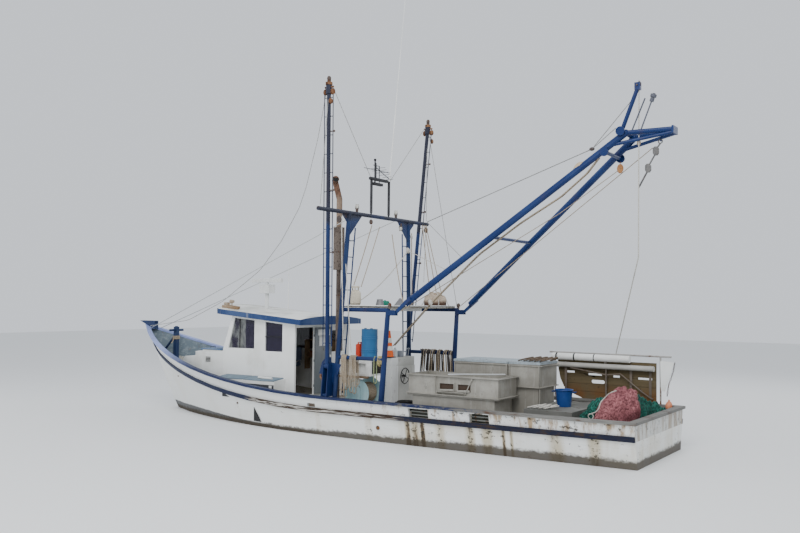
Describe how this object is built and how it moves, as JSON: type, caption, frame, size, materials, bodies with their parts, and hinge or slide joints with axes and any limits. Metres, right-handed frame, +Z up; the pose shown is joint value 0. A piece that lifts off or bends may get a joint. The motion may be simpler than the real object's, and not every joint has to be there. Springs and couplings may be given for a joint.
{
  "type": "fishing trawler",
  "caption": "Wooden outrigger trawler afloat: white hull, small wheelhouse forward, goalpost mast, hinged outriggers and a twin-pipe boom over the working deck.",
  "frame": {"origin": "on the centreline amidships at the height of the water", "axes": "+X to the bow, +Y to port, +Z up"},
  "size_m": [16.4297, 5.3841, 12.9508],
  "materials": {
    "hull_paint": "white hull paint on wood, streaked",
    "blue_trim": "blue paint, worn",
    "rub_dark": "dark worn rubbing strip",
    "keel_paint": "bottom paint with growth",
    "deck_paint": "matt deck paint",
    "house_paint": "white house paint",
    "glass": "dark tinted glass",
    "grey_paint": "grey paint",
    "blue_steel": "dark blue painted pipe",
    "light_blue": "light blue painted steel",
    "galvanised": "dull galvanised steel",
    "rusty": "rusted steel",
    "bronze": "bronze",
    "white_plastic": "white plastic",
    "blue_plastic": "blue plastic",
    "aluminium": "dull sheet aluminium",
    "board_wood": "weathered wood",
    "net": "twine netting",
    "black_rubber": "black rubber"
  },
  "bodies": {
    "root": {"hull": "hull_paint", "keel": "keel_paint", "engine_block": "grey_paint", "deck": "deck_paint", "bulwark": "hull_paint", "cap_rail": "blue_trim", "rub_rail_port": "rub_dark", "rub_rail_starboard": "rub_dark", "bow_roller": "blue_trim", "samson_post": "blue_trim", "stern_bitt_port": "blue_trim", "stern_bitt_starboard": "blue_trim", "trunk_cabin": "house_paint", "side_locker": "house_paint", "wheelhouse": "house_paint", "windshield_glass": "glass", "side_glass_port": "glass", "side_glass_starboard": "glass", "wheelhouse_roof": "house_paint", "helm_console": "house_paint", "radar_pedestal": "white_plastic", "roof_whip": "white_plastic", "mast_frame": "blue_steel", "antenna_rack": "galvanised", "mast_whip": "white_plastic", "gallows_port": "blue_steel", "gallows_starboard": "blue_steel", "canopy": "house_paint", "exhaust_stack": "rusty", "heel_bracket_port": "blue_steel", "heel_bracket_starboard": "blue_steel", "winch_stand": "rusty", "power_pack": "house_paint", "plastic_drum": "blue_plastic", "deck_console": "house_paint", "sorting_box_port": "aluminium", "sorting_box_aft": "aluminium", "hold_coaming": "aluminium", "aft_hatch": "grey_paint", "trawl_board": "board_wood", "trawl_rack": "galvanised", "white_pipe": "white_plastic", "grey_pipe": "grey_paint", "net_heap": "net", "forestay_port": "galvanised", "forestay_starboard": "galvanised"},
    "propeller": {"propeller": "bronze"},
    "rudder": {"rudder": "keel_paint"},
    "trunk_lid": {"trunk_hatch_lid": "blue_trim"},
    "door": {"wheelhouse_door": "grey_paint"},
    "helm": {"helm_wheel": "board_wood"},
    "radar": {"radar_array": "white_plastic"},
    "outrigger_port": {"outrigger_port": "blue_steel"},
    "outrigger_starboard": {"outrigger_starboard": "blue_steel"},
    "boom": {"boom": "blue_steel"},
    "tackle": {"boom_tackle": "galvanised"},
    "drum_port": {"winch_drum_port": "light_blue"},
    "drum_starboard": {"winch_drum_starboard": "light_blue"},
    "deck_wheel": {"deck_wheel": "black_rubber"},
    "hold_lid": {"hold_lid": "grey_paint"}
  },
  "joints": [
    {"name": "propeller_spin", "type": "hinge", "parent": "root", "child": "propeller", "pos_m": [-6.25, 0, -1.02], "axis": [1, 0, 0], "continuous": true},
    {"name": "rudder_turn", "type": "hinge", "parent": "root", "child": "rudder", "pos_m": [-6.85, 0, -0.8], "axis": [0, 0, 1], "range_deg": [-35, 35]},
    {"name": "trunk_lid_hinge", "type": "hinge", "parent": "root", "child": "trunk_lid", "pos_m": [4.34, 0, 1.79], "axis": [0, -1, 0], "range_deg": [0, 95]},
    {"name": "door_hinge", "type": "hinge", "parent": "root", "child": "door", "pos_m": [0.992, 0.385, 1.65], "axis": [0, 0, -1], "range_deg": [0, 180]},
    {"name": "helm_spin", "type": "hinge", "parent": "root", "child": "helm", "pos_m": [2.7, 0, 1.48], "axis": [1, 0, 0], "continuous": true},
    {"name": "radar_spin", "type": "hinge", "parent": "root", "child": "radar", "pos_m": [2.73, 0.3, 3.7], "axis": [0, 0, 1], "continuous": true},
    {"name": "outrigger_port_hinge", "type": "hinge", "parent": "root", "child": "outrigger_port", "pos_m": [-0.52, 1.75, 1.66], "axis": [-1, 0, 0], "range_deg": [0, 65]},
    {"name": "outrigger_starboard_hinge", "type": "hinge", "parent": "root", "child": "outrigger_starboard", "pos_m": [-0.52, -1.75, 1.66], "axis": [1, 0, 0], "range_deg": [0, 55]},
    {"name": "boom_topping", "type": "hinge", "parent": "root", "child": "boom", "pos_m": [-2.32, 0, 2.95], "axis": [0, 1, 0], "range_deg": [-15, 25]},
    {"name": "tackle_swing", "type": "hinge", "parent": "boom", "child": "tackle", "pos_m": [-7.95, 0, 6.64], "axis": [0, 1, 0], "range_deg": [-25, 15]},
    {"name": "drum_port_spin", "type": "hinge", "parent": "root", "child": "drum_port", "pos_m": [-0.98, 0.9, 1], "axis": [0, 1, 0], "continuous": true},
    {"name": "drum_starboard_spin", "type": "hinge", "parent": "root", "child": "drum_starboard", "pos_m": [-0.98, -0.9, 1], "axis": [0, 1, 0], "continuous": true},
    {"name": "deck_wheel_spin", "type": "hinge", "parent": "root", "child": "deck_wheel", "pos_m": [-1.64, 0.06, 1.38], "axis": [1, 0, 0], "continuous": true},
    {"name": "hold_lid_hinge", "type": "hinge", "parent": "root", "child": "hold_lid", "pos_m": [-3.85, -0.735, 1.83], "axis": [1, 0, 0], "range_deg": [0, 105]}
  ],
  "couplings": [
    {"joint": "tackle_swing", "follows": "boom_topping", "ratio": -1}
  ]
}
